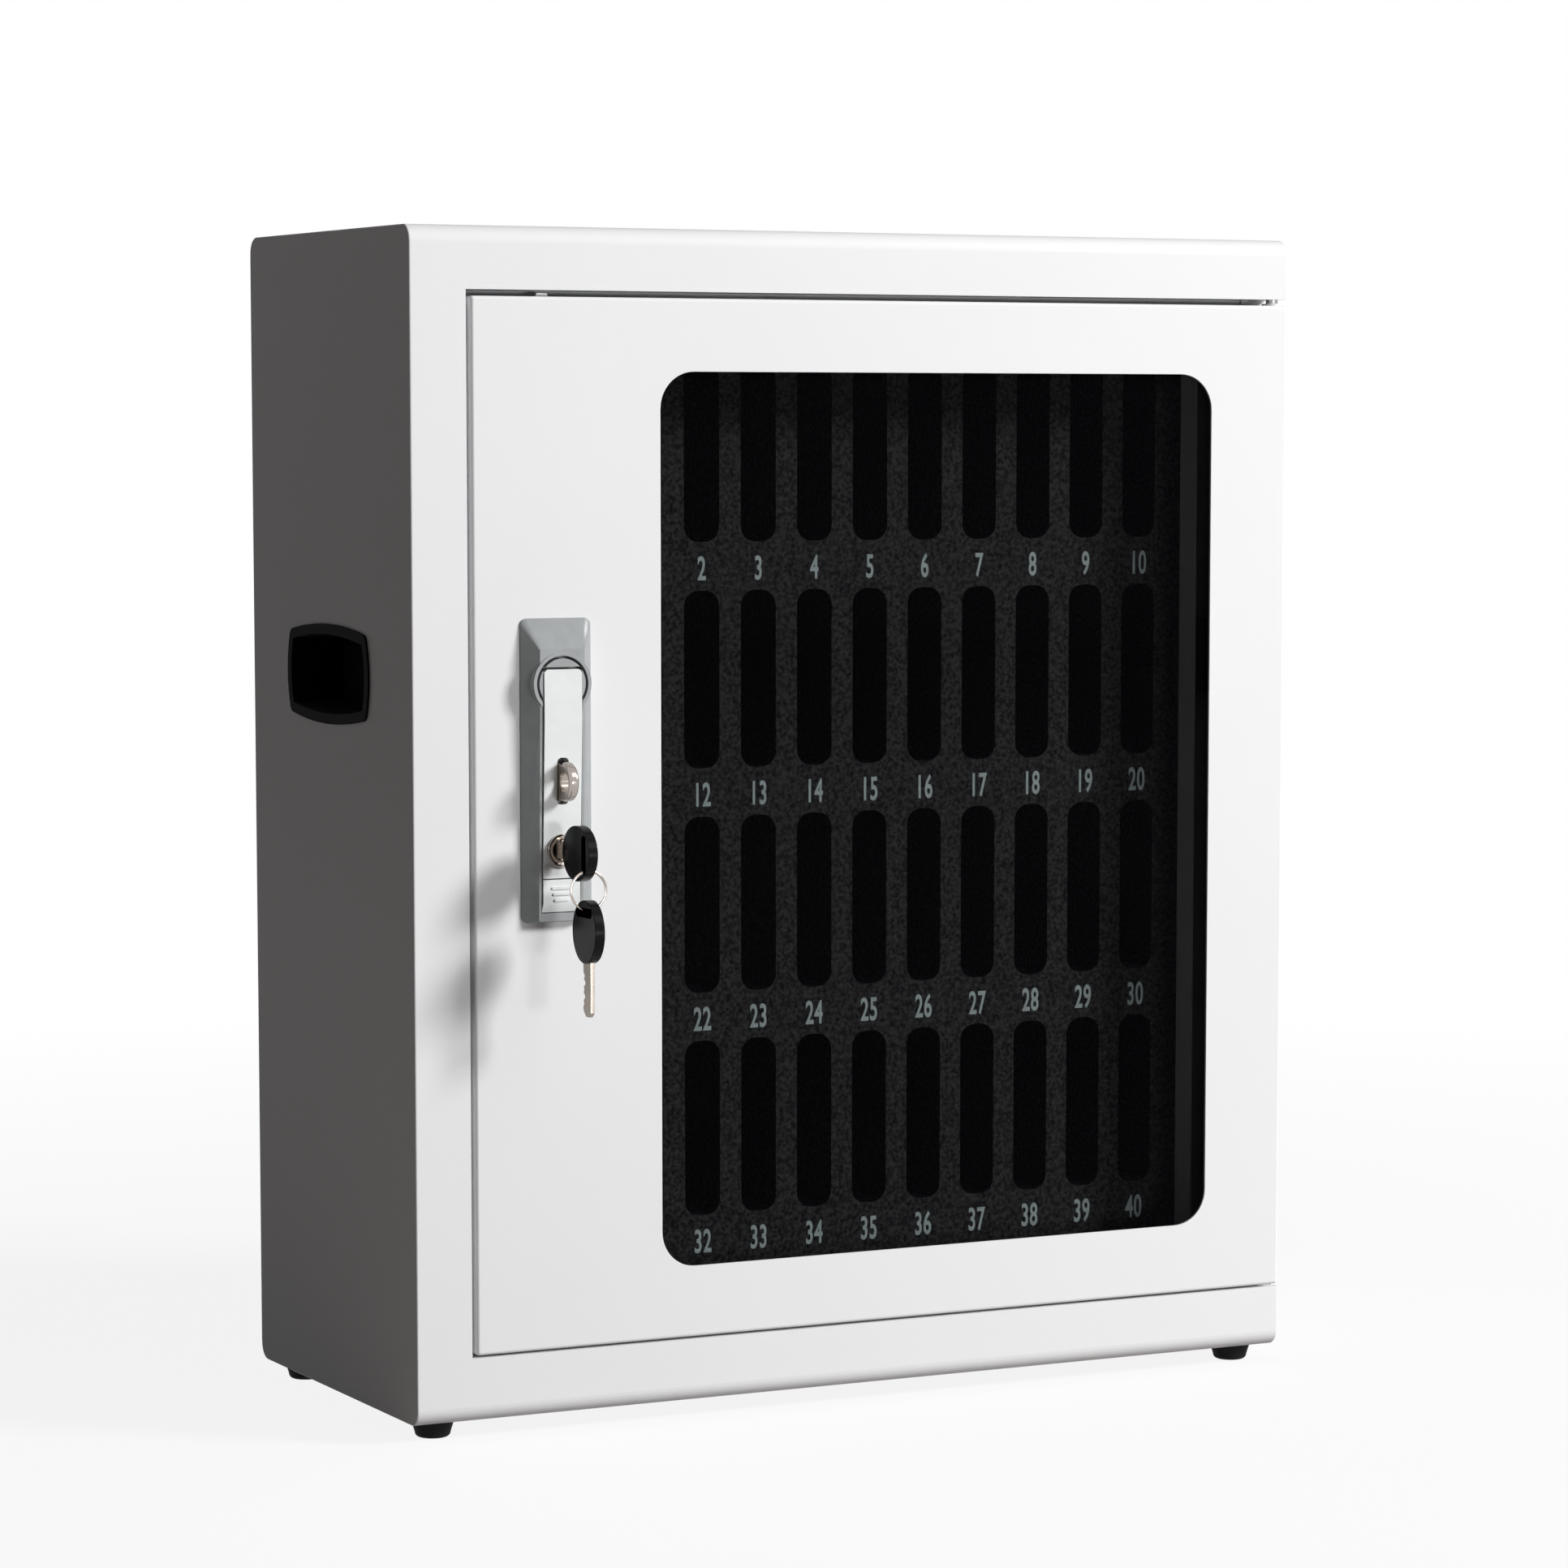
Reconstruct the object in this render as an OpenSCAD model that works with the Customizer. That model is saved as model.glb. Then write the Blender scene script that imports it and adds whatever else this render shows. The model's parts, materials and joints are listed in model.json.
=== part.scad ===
// Cell phone locker box: a folded steel cabinet on rubber feet, with a framed window door
// on two pivot pins, a pigeonhole rack behind it, and a lift handle lock that drives two rods.
// Millimetres, +Z up, the door faces -Y. The origin is on the floor, under the middle of
// everything the box takes up, the key in the lock included.

/* [Cabinet] */
// Width over the two side panels
cabinet_w = 475; // [470:1:480]
// Depth from the door's face to the back
cabinet_d = 204; // [200:1:230]
// Height of the steel body, without its feet
cabinet_h = 560; // [556:1:570]
// Thickness of the folded sheet
sheet = 1.2; // [1:0.1:1.5]
// Outside radius of the bends along the top and bottom edges
bend_r = 8; // [6:0.5:10]
// Height of the feet
foot_h = 8.5; // [7:0.5:10]

/* [Front frame] */
// Width of the upright at the left of the door
stile_w = 28.2; // [26:0.1:30]
// Height of the rail under the door
bottom_rail_h = 30.8; // [29:0.1:32]
// Height of the rail over the door
top_rail_h = 29.5; // [28:0.1:31]
// How far the frame turns in beside the door
frame_return = 24; // [22:0.5:26]

/* [Door] */
// Depth of the folded door
door_t = 18; // [18:0.5:19]
// Gap over the door
top_gap = 3; // [2.8:0.1:4]
// Gap under the door
bottom_gap = 1.1; // [1:0.1:1.5]
// Gap at the left of the door
left_gap = 2.5; // [2:0.1:3]
// Radius of the door's front edges
door_edge_r = 1.6; // [1.2:0.1:2]
// Width of the window
window_w = 303.5; // [296:0.5:306]
// Height of the window
window_h = 426.8; // [400:0.2:428]
// Corner radius of the window
window_r = 17.5; // [10:0.5:22]
// Distance of the window from the cabinet's left side
window_left = 127.4; // [126:0.1:130]

/* [Phone rack] */
// Slots in a row
slot_columns = 10; // [8:1:10]
// Rows of slots
slot_rows = 4; // [3:1:4]
// Width of a slot
slot_w = 19; // [14:0.5:20]
// Height of a slot
slot_h = 86; // [80:1:90]
// Corner radius of a slot
slot_r = 7.5; // [4:0.5:9]
// Distance between columns
column_pitch = 30.6; // [28:0.1:30.6]
// Distance between rows
row_pitch = 109.5; // [100:0.5:110]
// Distance of the slotted face behind the door's face
rack_depth = 40; // [36:1:50]

/* [Lock] */
// Distance of the lock's centre line from the cabinet's left side
lock_left = 72.3; // [70:0.1:74]
// Width of the lock's base
lock_w = 36; // [34:0.5:38]
// Height of the lock's base
lock_h = 142.8; // [142:0.1:144]
// Lift of the handle when it is pulled out
handle_lift = 35; // [25:1:35]
// Travel of each rod
rod_travel = 11; // [9:0.5:11]

/* [Keys] */
// Length of a key's plastic bow
bow_length = 29.6; // [28:0.1:31]
// Radius of the bow's round end
bow_r = 13; // [12.6:0.1:13.4]
// Thickness of the bow
bow_t = 5; // [4.4:0.1:5.6]
// Outside diameter of the key ring
key_ring_d = 19; // [18.5:0.1:21]

/* [Hidden] */
$fn = 64;

// Colours
paint = [0.9, 0.91, 0.92];
rack_grey = [0.2, 0.21, 0.22];
lock_silver = [0.76, 0.78, 0.79];
chrome = [0.85, 0.85, 0.86];
zinc = [0.66, 0.67, 0.69];
black = [0.07, 0.07, 0.07];
nylon = [0.88, 0.88, 0.86];

// The body's place: x from its left side, depth from the door's face, z from its underside
key_tip = 42.5;
key_slot_from_tip = 5.6;
ring_out = key_tip - key_slot_from_tip;
reach = ring_out + bow_r;
left_x = -cabinet_w / 2;
right_x = cabinet_w / 2;
front_y = -(cabinet_d - reach) / 2;
opening_x = left_x + stile_w;
opening_low = bottom_rail_h;
opening_high = cabinet_h - top_rail_h;
frame_lip = 8;

// Door
door_x = opening_x + left_gap;
door_low = opening_low + bottom_gap;
door_high = opening_high - top_gap;
window_x = left_x + window_left + window_w / 2;
window_z = 66.3 + window_h / 2;
pivot_x = right_x - 5;
pivot_depth = 7;
pin_r = 3;
running_gap = 0.05;
block_bore_r = pin_r + running_gap;
collar_r = 5;
side_front = 21;
gasket_t = 0.8;
pane_t = 3;
pane_margin = 9;
clip_t = 1.2;
clip_l = 14;

// Hand cups in the side panels
cup_depth_pos = 103.5;
cup_z = 349.3;
cup_half_w = 52;
cup_half_h = 24;
cup_bulge = 4;
cup_corner_r = 4.5;
cup_lip = 3;
cup_recess = 28;
cup_wall = 2;

// Rack
rack_x0 = left_x + 113;
rack_x1 = left_x + 437.4;
first_column_x = (rack_x0 + rack_x1 - (slot_columns - 1) * column_pitch) / 2;
first_row_z = 126.5;
wall_front = 26;
cell_back = cabinet_d - 4;
divider_t = 1;
shelf_drop = 0.8;
face_return = 12;
wall_bolt_r = 4.2;
wall_bolt_x = 175.1;

// Feet
foot_top_r = 10.5;
foot_low_r = 8.6;
foot_well_r = 4.6;
foot_hole_r = 2;
foot_x = cabinet_w / 2 - 16;
foot_inset = 20;

// Lock, measured out from the door's face and up from the body's underside
lock_x = left_x + lock_left;
lock_mid_z = 307;
turret_z = 348;
crown_z = 363;
crease_z = 332;
face_out = 8.6;
face_out_low = 6;
face_low_z = 237.8;
face_half_w = 11.4;
boss_r = 14.75;
boss_out = 9;
recess_half_w = 10.2;
recess_low_z = 240.4;
recess_floor = 2.6;
turret_recess_r = 13.1;
turret_floor = 0.8;
turret_r = 11.8;
turret_out = 8.9;
pocket_floor = 1.6;
lift_z = 346;
lift_out = 5.4;
lift_pin_r = 1.25;
handle_half_w = 9.6;
handle_top_z = 354.8;
handle_low_z = 256.8;
handle_under = 3.2;
staple_z = 302.5;
staple_t = 5;
staple_r = 9.2;
staple_out = 13.2;
staple_hole_r = 5;
staple_hole_out = 15.4;
barrel_z = 270;
barrel_r = 7.2;
barrel_end = -12.4;
plug_r = 4.8;
swing_hole_r = 10;
clamp_t = 1.8;
lock_screw_z = [369, staple_z];

// Rod drive behind the door
disc_depth = 9.2;
disc_t = 3;
disc_r = 26.5;
stud_r = 2.5;
stud_start = 11;
slot_half = stud_r + 0.25;
spindle_r = 5;
rod_depth = 13.2;
rod_t = 3;
rod_half_w = 5.5;
rod_show = 1.8;
guide_z = [[395, 505], [60, 230]];

// Keys
blade_t = 2.2;
blade_w = 8;
blade_l = 25;
key_slot_half = 6.5;
key_slot_r = 2.1;
wire_r = 0.6;
ring_r = key_ring_d / 2 - wire_r;
hang_slack = 0.35;
ring_top_z = barrel_z - key_slot_half - key_slot_r + wire_r + hang_slack;
ring_low_z = ring_top_z - 2 * ring_r;
spare_tip_z = ring_low_z + key_slot_from_tip - key_slot_r + wire_r + hang_slack;

// ---- Helpers ----

// A block between two x, two depths behind the door's face and two heights of the body
module slab(x, depth, z) {
  translate([x[0], front_y + depth[0], foot_h + z[0]])
    cube([x[1] - x[0], depth[1] - depth[0], z[1] - z[0]]);
}

// A rectangle about the origin with round corners
module rounded(w, h, r) {
  square([w - 2 * r, h], center = true);
  square([w, h - 2 * r], center = true);
  for (sx = [-1, 1], sy = [-1, 1])
    translate([sx * (w / 2 - r), sy * (h / 2 - r)]) circle(r);
}

// Extrudes a drawing of (depth, height) from one x to another
module along_x(x) {
  translate([x[0], front_y, foot_h]) rotate([90, 0, 90]) linear_extrude(x[1] - x[0]) children();
}

// Extrudes a drawing of (x, height) from one depth to another
module along_depth(depth) {
  translate([0, front_y + depth[1], foot_h]) rotate([90, 0, 0])
    linear_extrude(depth[1] - depth[0]) children();
}

// The same in the lock's own frame: x from its centre line, out from the door's face
module lock_out(out) {
  translate([lock_x, front_y - out[0], foot_h]) rotate([90, 0, 0])
    linear_extrude(out[1] - out[0]) children();
}

// Extrudes a drawing of (out, height) by a half width each side of the lock's centre line
module lock_across(half) {
  along_x([lock_x - half, lock_x + half]) mirror([1, 0]) children();
}

// Points of an arc about c
function arc(c, r, from, to, steps) =
  [for (i = [0 : steps]) let (a = from + (to - from) * i / steps) c + r * [cos(a), sin(a)]];

// ---- Cabinet ----

// The body's outline seen from the side, grown or shrunk
module side_outline(grow = 0) {
  translate([cabinet_d / 2, cabinet_h / 2])
    rounded(cabinet_d + 2 * grow, cabinet_h + 2 * grow, bend_r + grow);
}

// Front frame, top, back and bottom folded from one sheet
module shell_wrap() {
  opening = [opening_low, opening_high];
  color(paint) difference() {
    union() {
      difference() {
        along_x([left_x + sheet, right_x - sheet]) difference() {
          side_outline();
          side_outline(-sheet);
        }
        slab([opening_x, right_x], [-1, sheet + 1], opening);
      }
      for (edge = [[opening_low - sheet, opening_low], [opening_high, opening_high + sheet]])
        slab([opening_x - sheet, right_x - sheet], [sheet / 2, frame_return], edge);
      slab([opening_x - sheet, opening_x], [sheet / 2, frame_return], opening);
      frame_lips();
    }
    for (z = [opening_low - sheet - 1, opening_high - 1]) {
      // Ways for the rods and holes for the pivot pins
      slab([lock_x - 7, lock_x + 7], [rod_depth - 1.5, rod_depth + rod_t + 1.5], [z, z + sheet + 2]);
      translate([pivot_x, front_y + pivot_depth, foot_h + z]) cylinder(r = pin_r, h = sheet + 2);
    }
    for (x = [-wall_bolt_x, wall_bolt_x], row = [0, slot_rows - 1])
      translate([x, front_y + cabinet_d + 1, foot_h + first_row_z + row * row_pitch])
        rotate([90, 0, 0]) cylinder(r = wall_bolt_r, h = sheet + 2);
    at_feet() cylinder(r = foot_hole_r, h = foot_h + sheet + 1);
  }
}

// Turned in lips that the closed door stands in front of
module frame_lips() {
  depth = [frame_return - sheet, frame_return];
  slab([opening_x - sheet, right_x - sheet], depth, [opening_high - frame_lip, opening_high + sheet]);
  slab([opening_x - sheet, right_x - sheet], depth, [opening_low - sheet, opening_low + frame_lip]);
  slab([opening_x - sheet, opening_x + frame_lip], depth, [opening_low, opening_high]);
}

module at_feet() {
  for (x = [-foot_x, foot_x], depth = [foot_inset, cabinet_d - foot_inset])
    translate([x, front_y + depth, 0]) children();
}

// The barrel shape of a hand cup: four shallow arcs with round corners, grown by a margin
function arc_radius(half_chord, sag) = (half_chord * half_chord + sag * sag) / (2 * sag);
function cup_quarter(grow) =
  let (
    flat_r = arc_radius(cup_half_w - cup_bulge, cup_bulge) + grow,
    end_r = arc_radius(cup_half_h - cup_bulge, cup_bulge) + grow,
    corner = max(cup_corner_r + grow, 0.8),
    flat_c = [0, cup_half_h + grow - flat_r],
    end_c = [cup_half_w + grow - end_r, 0],
    // Where the two arcs, drawn in by the corner's radius, cross
    span = norm(end_c - flat_c),
    along = (pow(flat_r - corner, 2) - pow(end_r - corner, 2) + span * span) / (2 * span),
    across = sqrt(pow(flat_r - corner, 2) - along * along),
    axis = (end_c - flat_c) / span,
    c = flat_c + along * axis + across * [axis[1], -axis[0]],
    end_a = atan2(c[1] - end_c[1], c[0] - end_c[0]),
    flat_a = atan2(c[1] - flat_c[1], c[0] - flat_c[0])
  )
  concat(
    arc(end_c, end_r, 0, end_a, 6),
    arc(c, corner, end_a, flat_a, 6),
    arc(flat_c, flat_r, flat_a, 90, 8)
  );
module cup_outline(grow = 0) {
  quarter = cup_quarter(grow);
  last = len(quarter) - 1;
  translate([cup_depth_pos, cup_z]) polygon(concat(
    quarter,
    [for (i = [last : -1 : 0]) [-quarter[i][0], quarter[i][1]]],
    [for (p = quarter) -p],
    [for (i = [last : -1 : 0]) [quarter[i][0], -quarter[i][1]]]
  ));
}

module side_left() {
  color(paint) along_x([left_x, left_x + sheet]) difference() {
    side_outline();
    cup_outline(-cup_lip);
  }
}

// The right side stops behind the door, with a turned in edge
module side_right() {
  color(paint) {
    along_x([right_x - sheet, right_x]) difference() {
      side_outline();
      cup_outline(-cup_lip);
      translate([-1, opening_low]) square([side_front + 1, opening_high - opening_low]);
    }
    slab([right_x - 14, right_x - sheet / 2], [side_front, side_front + sheet],
         [opening_low, opening_high]);
  }
}

module hand_cup(side) {
  face = side * cabinet_w / 2;
  module between(a, b) { along_x([min(face + side * a, face + side * b),
                                  max(face + side * a, face + side * b)]) children(); }
  color(black) difference() {
    union() {
      between(0, 1) cup_outline();
      between(-cup_recess, 0.5) cup_outline(-cup_lip);
    }
    between(-cup_recess + cup_wall, 2) cup_outline(-cup_lip - cup_wall);
  }
}
module hand_cup_left() { hand_cup(-1); }
module hand_cup_right() { hand_cup(1); }

module foot() {
  round_r = 2.5;
  rotate_extrude() difference() {
    polygon(concat(
      [[0, foot_h], [0, 0]],
      arc([foot_low_r - round_r, round_r], round_r, -90, 0, 6),
      [[foot_top_r, foot_h]]
    ));
    translate([-1, -1]) square([1 + foot_well_r, 5]);
    translate([-1, -1]) square([1 + foot_hole_r, foot_h + 2]);
  }
}
module feet() { color(black) at_feet() foot(); }

module foot_screws() {
  color(zinc) at_feet() {
    translate([0, 0, 2]) cylinder(r = foot_well_r - 0.6, h = 2);
    translate([0, 0, 3]) cylinder(r = foot_hole_r, h = foot_h + sheet + 2);
    translate([0, 0, foot_h + sheet]) cylinder(r = 4, h = 3.2, $fn = 6);
  }
}

// A headed pin in each rail, on which the door turns
module hinge_pins() {
  color(zinc) for (end = [[opening_low - sheet, 1], [opening_high + sheet, -1]])
    translate([pivot_x, front_y + pivot_depth, foot_h + end[0]]) {
      rotate([end[1] < 0 ? 180 : 0, 0, 0]) {
        translate([0, 0, -2.5]) cylinder(r = 3.6, h = 2.5);
        translate([0, 0, -2]) cylinder(r = pin_r, h = 17);
      }
    }
}

// ---- Phone rack ----

module rack_wall(x) {
  color(paint) along_x(x)
    translate([(wall_front + cabinet_d - sheet) / 2, cabinet_h / 2])
      rounded(cabinet_d - sheet - wall_front, cabinet_h - 2 * sheet, bend_r + 1);
}
module rack_wall_left() { rack_wall([rack_x0 - sheet, rack_x0]); }
module rack_wall_right() { rack_wall([rack_x1, rack_x1 + sheet]); }

function slot_x(column) = first_column_x + column * column_pitch;
function slot_z(row) = first_row_z + row * row_pitch;
function shelf_z(row) = slot_z(row) - slot_h / 2 - shelf_drop;

// The face with a slot for each phone, its two long edges turned back
module rack_face() {
  height = [opening_low + 0.5, opening_high + 0.5];
  color(rack_grey) {
    along_depth([rack_depth, rack_depth + sheet]) difference() {
      translate([rack_x0, height[0]]) square([rack_x1 - rack_x0, height[1] - height[0]]);
      for (column = [0 : slot_columns - 1], row = [0 : slot_rows - 1])
        translate([slot_x(column), slot_z(row)]) rounded(slot_w, slot_h, slot_r);
    }
    for (x = [[rack_x0, rack_x0 + sheet], [rack_x1 - sheet, rack_x1]])
      slab(x, [rack_depth + sheet / 2, rack_depth + face_return], height);
  }
}

module rack_shelves() {
  color(rack_grey) for (row = [0 : slot_rows])
    slab([rack_x0 + sheet, rack_x1 - sheet], [rack_depth + sheet, cell_back],
         [shelf_z(row) - sheet, shelf_z(row)]);
}

module rack_dividers() {
  color(rack_grey) for (row = [0 : slot_rows - 1], edge = [0 : slot_columns]) {
    x = slot_x(edge) - column_pitch / 2;
    slab([x - divider_t / 2, x + divider_t / 2], [rack_depth + sheet, cell_back],
         [shelf_z(row), shelf_z(row + 1) - sheet]);
  }
}

// ---- Door ----

// A block whose front edges and corners are rounded
module soft_front_slab(x, z, depth, r) {
  inner_x = [x[0] + r, x[1] - r];
  inner_z = [z[0] + r, z[1] - r];
  slab(inner_x, [0, depth], inner_z);
  slab(x, [r, depth], inner_z);
  slab(inner_x, [r, depth], z);
  for (cx = inner_x, cz = inner_z) translate([cx, front_y + r, foot_h + cz]) {
    sphere(r);
    rotate([-90, 0, 0]) cylinder(r = r, h = depth - r);
  }
  for (cx = inner_x)
    translate([cx, front_y + r, foot_h + inner_z[0]]) cylinder(r = r, h = inner_z[1] - inner_z[0]);
  for (cz = inner_z)
    translate([inner_x[0], front_y + r, foot_h + cz]) rotate([0, 90, 0])
      cylinder(r = r, h = inner_x[1] - inner_x[0]);
}

// The folded door skin, open at the back, with its window, lock holes and rod ways
module door_pan() {
  color(paint) difference() {
    soft_front_slab([door_x, right_x], [door_low, door_high], door_t, door_edge_r);
    slab([door_x + sheet, right_x - sheet], [sheet, door_t + 1], [door_low + sheet, door_high - sheet]);
    along_depth([-1, sheet + 1]) {
      translate([window_x, window_z]) rounded(window_w, window_h, window_r);
      translate([lock_x, turret_z]) circle(turret_recess_r);
      translate([lock_x, barrel_z]) circle(swing_hole_r);
      for (z = lock_screw_z) translate([lock_x, z]) circle(2.2);
    }
    for (z = [door_low - 1, door_high - sheet - 1]) {
      slab([lock_x - 6.5, lock_x + 6.5], [rod_depth - 1, rod_depth + rod_t + 1], [z, z + sheet + 2]);
      translate([pivot_x, front_y + pivot_depth, foot_h + z]) cylinder(r = 3.75, h = sheet + 2);
    }
  }
}

module pane_area(margin) {
  translate([window_x, window_z])
    rounded(window_w + 2 * margin, window_h + 2 * margin, window_r / 2 + margin);
}
module window_pane() {
  color([0.25, 0.27, 0.28, 0.5])
    along_depth([sheet + gasket_t, sheet + gasket_t + pane_t]) pane_area(pane_margin);
}
module pane_gasket() {
  color(black) along_depth([sheet, sheet + gasket_t]) difference() {
    pane_area(pane_margin);
    pane_area(1);
  }
}

// Runs its children at each clip, with +X pointing away from the window's edge
module at_clips() {
  for (side = [-1, 1]) {
    for (z = [-0.36, 0, 0.36] * window_h) place_clip([side * window_w / 2, z], side > 0 ? 0 : 180)
      children();
    for (x = [-0.3, 0.3] * window_w) place_clip([x, side * window_h / 2], side > 0 ? 90 : 270)
      children();
  }
}
module place_clip(p, turn) {
  translate([window_x + p[0], front_y, foot_h + window_z + p[1]]) rotate([0, -turn, 0]) children();
}

// Z-shaped clips that press the pane on its gasket
module pane_clips() {
  low = sheet;
  high = sheet + gasket_t + pane_t;
  color(zinc) at_clips() translate([0, 0, -clip_l / 2]) linear_extrude(clip_l) polygon([
    [3, high], [pane_margin + 1, high], [pane_margin + 1, low], [20, low], [20, low + clip_t],
    [pane_margin + 1 + clip_t, low + clip_t], [pane_margin + 1 + clip_t, high + clip_t],
    [3, high + clip_t]
  ]);
}
module clip_screws() {
  color(zinc) at_clips() translate([15.6, sheet + clip_t, 0]) rotate([-90, 0, 0]) {
    cylinder(r = 3, h = 1.2);
    cylinder(r = 2.4, h = 2);
  }
}

// Bored blocks in the door's corners, with a collar that rides on the rail
module pivot_blocks() {
  size = [right_x - 22, right_x - sheet];
  color(nylon) difference() {
    union() {
      slab(size, [sheet, 14], [door_low + sheet, door_low + 18]);
      slab(size, [sheet, 14], [door_high - 18, door_high - sheet]);
      translate([pivot_x, front_y + pivot_depth, foot_h]) {
        translate([0, 0, door_low]) cylinder(r = 3.7, h = sheet + 1);
        translate([0, 0, opening_low]) cylinder(r = collar_r, h = bottom_gap);
        translate([0, 0, door_high - sheet - 1]) cylinder(r = 3.7, h = sheet + 1);
        translate([0, 0, door_high]) cylinder(r = collar_r, h = 1);
      }
    }
    translate([pivot_x, front_y + pivot_depth, foot_h + opening_low - 1])
      cylinder(r = block_bore_r, h = opening_high - opening_low + 2);
  }
}

module rod_guides() {
  color(nylon) for (pair = guide_z, z = pair) difference() {
    slab([lock_x - 12, lock_x + 12], [sheet, door_t], [z - 6, z + 6]);
    slab([lock_x - rod_half_w - 0.3, lock_x + rod_half_w + 0.3],
         [rod_depth - 0.3, rod_depth + rod_t + 0.3], [z - 7, z + 7]);
  }
}

// ---- Lock on the door ----

// A die cast base with sloping sides and a keyhole-shaped recess for turret, handle and button
module lock_housing() {
  tip_r = 1.2;
  ridge = [[crown_z, face_out], [crease_z, face_out], [face_low_z, face_out_low]];
  color(lock_silver) difference() {
    union() {
      hull() {
        lock_out([0, 0.8]) translate([0, lock_mid_z]) rounded(lock_w, lock_h, 3.5);
        for (p = ridge, side = [-1, 1]) lock_out([p[1] - 0.4, p[1]])
          translate([side * (face_half_w - tip_r), p[0]]) circle(tip_r, $fn = 24);
      }
      lock_out([0, boss_out]) translate([0, turret_z]) circle(boss_r);
    }
    lock_out([turret_floor, 20]) translate([0, turret_z]) circle(turret_recess_r);
    lock_out([recess_floor, 20]) translate([-recess_half_w, recess_low_z])
      square([2 * recess_half_w, turret_z - recess_low_z]);
    // Deeper well behind the button
    lock_out([0.6, 20]) translate([-recess_half_w, recess_low_z])
      square([2 * recess_half_w, handle_low_z - recess_low_z]);
    lock_out([-1, 20]) translate([0, barrel_z]) circle(swing_hole_r);
    lock_out([-1, 2]) translate([0, turret_z]) circle(spindle_r + 0.3);
    lock_out([-1, 4]) translate([0, lock_screw_z[0]]) circle(1.65);
    lock_out([-1, 4]) translate([0, lock_screw_z[1]]) circle(1.65);
  }
}

// The round turret with a seat for the handle's head
module lock_turret() {
  color(lock_silver) difference() {
    lock_out([turret_floor, turret_out]) translate([0, turret_z]) circle(turret_r);
    lock_out([pocket_floor, 20]) translate([-handle_half_w - 0.3, turret_z - 20])
      square([2 * handle_half_w + 0.6, handle_top_z - turret_z + 21.1]);
    lock_across(20) translate([lift_out, lift_z]) circle(lift_pin_r);
  }
}
module handle_pin() {
  color(zinc) lock_across(11.4) translate([lift_out, lift_z]) circle(lift_pin_r);
}

// A round-ended eye for a padlock, which stands out through the handle
module padlock_staple() {
  color(chrome) difference() {
    lock_across(staple_t / 2) difference() {
      union() {
        translate([recess_floor, staple_z - staple_r]) square([staple_out - recess_floor, 2 * staple_r]);
        translate([staple_out, staple_z]) circle(staple_r);
      }
      translate([staple_hole_out, staple_z]) circle(staple_hole_r);
    }
    lock_out([0, 4.4]) translate([0, staple_z]) circle(1.65);
  }
}

module lock_clamp() {
  color(zinc) along_depth([sheet, sheet + clamp_t]) translate([lock_x, 0]) difference() {
    translate([0, 316]) rounded(32, 120, 4);
    translate([0, turret_z]) circle(turret_recess_r);
    translate([0, barrel_z]) circle(swing_hole_r);
    for (z = lock_screw_z) translate([0, z]) circle(2.2);
  }
}
module lock_screws() {
  back = sheet + clamp_t;
  color(zinc) for (z = lock_screw_z) {
    lock_out([-back - 2.2, -back]) translate([0, z]) circle(3.6);
    lock_out([-back - 1, 3.9]) translate([0, z]) circle(1.65);
  }
}

// The push button under the handle, with three grip bars and a bevelled foot
module push_button() {
  half = 9.5;
  top = 256.2;
  low = 240.8;
  color(lock_silver) {
    lock_across(half) polygon([
      [handle_under, low], [handle_under, top], [6.9, top], [6.9, low + 4.1], [4.9, low]
    ]);
    // Guided by the recess
    lock_out([handle_under, handle_under + 1.4]) translate([running_gap - recess_half_w, low + 1])
      square([2 * (recess_half_w - running_gap), top - low - 2]);
    for (bar = [0 : 2]) lock_out([6.5, 7.5])
      translate([0, top - 4 - 2.8 * bar]) rounded(10.6 - 1.3 * bar, 1.2, 0.55);
  }
}

// ---- Handle ----

function handle_face(z) = face_out + 1.1 - 2.8 * (crease_z - z) / (crease_z - handle_low_z);

module handle() {
  head_r = 3.6;
  length = handle_top_z - handle_low_z;
  color(lock_silver) difference() {
    intersection() {
      lock_across(handle_half_w) {
        polygon([
          [face_out + 0.8, handle_top_z], [7.6, handle_top_z], [6.8, lift_z + 6], [6.8, lift_z + 3],
          [lift_out, lift_z], [handle_under, lift_z - 3], [handle_under, handle_low_z],
          [handle_face(handle_low_z), handle_low_z], [face_out + 1.1, crease_z]
        ]);
        translate([lift_out, lift_z]) circle(head_r);
      }
      lock_out([0, 20]) union() {
        translate([0, handle_top_z - length / 2]) rounded(2 * handle_half_w, length, 2.2);
        translate([-handle_half_w, handle_low_z]) square([2 * handle_half_w, 20]);
      }
    }
    lock_across(20) translate([lift_out, lift_z]) circle(lift_pin_r + running_gap);
    lock_out([-20, 20]) translate([0, staple_z]) rounded(5.8, 22, 2);
    lock_out([-20, 20]) translate([0, barrel_z]) circle(barrel_r);
    lock_out([6.6, 20]) translate([0, barrel_z]) circle(barrel_r + 0.5);
  }
}

// The lock barrel in the handle, with a dished rim
module lock_barrel() {
  rim_out = 8.8;
  color(chrome) difference() {
    union() {
      lock_out([barrel_end, 7]) translate([0, barrel_z]) circle(barrel_r);
      lock_out([6.6, rim_out]) translate([0, barrel_z]) circle(barrel_r + 0.5);
    }
    lock_out([-20, 20]) translate([0, barrel_z]) circle(plug_r + running_gap);
    translate([lock_x, front_y - rim_out - 0.01, foot_h + barrel_z]) rotate([-90, 0, 0])
      cylinder(r1 = barrel_r - 0.1, r2 = plug_r, h = 1.2);
  }
}

module key_plug() {
  color(chrome) difference() {
    lock_out([barrel_end, 7.6]) translate([0, barrel_z]) circle(plug_r);
    lock_out([-20, 20]) translate([0, barrel_z]) square([blade_t, blade_w], center = true);
  }
}

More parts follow.
